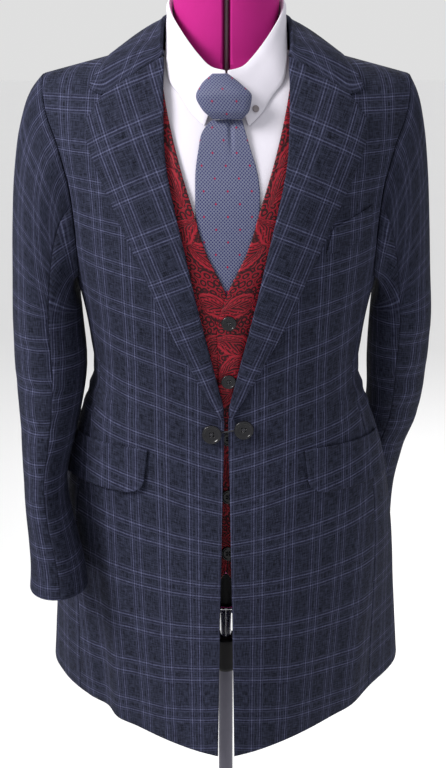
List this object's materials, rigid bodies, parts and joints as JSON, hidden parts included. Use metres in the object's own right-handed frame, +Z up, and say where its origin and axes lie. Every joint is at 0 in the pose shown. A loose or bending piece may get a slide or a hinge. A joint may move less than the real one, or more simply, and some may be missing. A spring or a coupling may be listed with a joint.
{
  "type": "saddle seat day suit on dress form",
  "caption": "Fitted three-quarter-length saddle seat day coat with a brocade vest, white shirt and tie, on a limbless dress form with a pole stand.",
  "frame": {"origin": "centre of the round base, on the surface it stands on", "axes": "+Z up along the stand, -Y the way the suit faces, +X the wearer's left"},
  "size_m": [0.4955, 0.3617, 1.553],
  "materials": {
    "coat_wool": "charcoal navy wool suiting with a periwinkle twin windowpane",
    "vest_brocade": "deep red and black paisley brocade with a satin ground",
    "shirt_cotton": "plain white cotton, pressed",
    "tie_silk": "blue grey woven silk with small navy and dark red dots",
    "horn_button": "black, polished rim",
    "thread": "wound black thread",
    "form_jersey": "magenta jersey cover",
    "grey_plastic": "grey, moulded",
    "black_plastic": "black, moulded",
    "black_metal": "black powder coat",
    "steel_tube": "bright plated",
    "grey_tube": "satin grey"
  },
  "bodies": {
    "stand": {"stand_base": "black_metal", "stand_clamp": "black_plastic", "stand_lower_tube": "grey_tube"},
    "form": {"coat_back_left": "coat_wool", "coat_back_right": "coat_wool", "coat_breast_welt": "coat_wool", "coat_button_left": "horn_button", "coat_button_link": "thread", "coat_button_right": "horn_button", "coat_collar": "coat_wool", "coat_cuff_button_left_1": "horn_button", "coat_cuff_button_left_2": "horn_button", "coat_cuff_button_left_3": "horn_button", "coat_cuff_button_left_4": "horn_button", "coat_cuff_button_right_1": "horn_button", "coat_cuff_button_right_2": "horn_button", "coat_cuff_button_right_3": "horn_button", "coat_cuff_button_right_4": "horn_button", "coat_flap_left": "coat_wool", "coat_flap_right": "coat_wool", "coat_front_left": "coat_wool", "coat_front_right": "coat_wool", "coat_lapel_left": "coat_wool", "coat_lapel_right": "coat_wool", "coat_side_left": "coat_wool", "coat_side_right": "coat_wool", "coat_sleeve_top_left": "coat_wool", "coat_sleeve_top_right": "coat_wool", "coat_sleeve_under_left": "coat_wool", "coat_sleeve_under_right": "coat_wool", "form_body": "form_jersey", "form_hub": "black_plastic", "form_slit_rod": "grey_plastic", "form_upper_tube": "steel_tube", "shirt_back": "shirt_cotton", "shirt_collar": "shirt_cotton", "shirt_collar_snap": "grey_plastic", "shirt_front_left": "shirt_cotton", "shirt_front_right": "shirt_cotton", "tie_blade": "tie_silk", "tie_knot": "tie_silk", "vest_back": "vest_brocade", "vest_button_1": "horn_button", "vest_button_2": "horn_button", "vest_button_3": "horn_button", "vest_button_4": "horn_button", "vest_button_5": "horn_button", "vest_front_left": "vest_brocade", "vest_front_right": "vest_brocade"}
  },
  "joints": [
    {"name": "stand_height", "type": "slide", "parent": "stand", "child": "form", "axis": [0, 0, 1], "range_m": [-0.04, 0.18]}
  ]
}
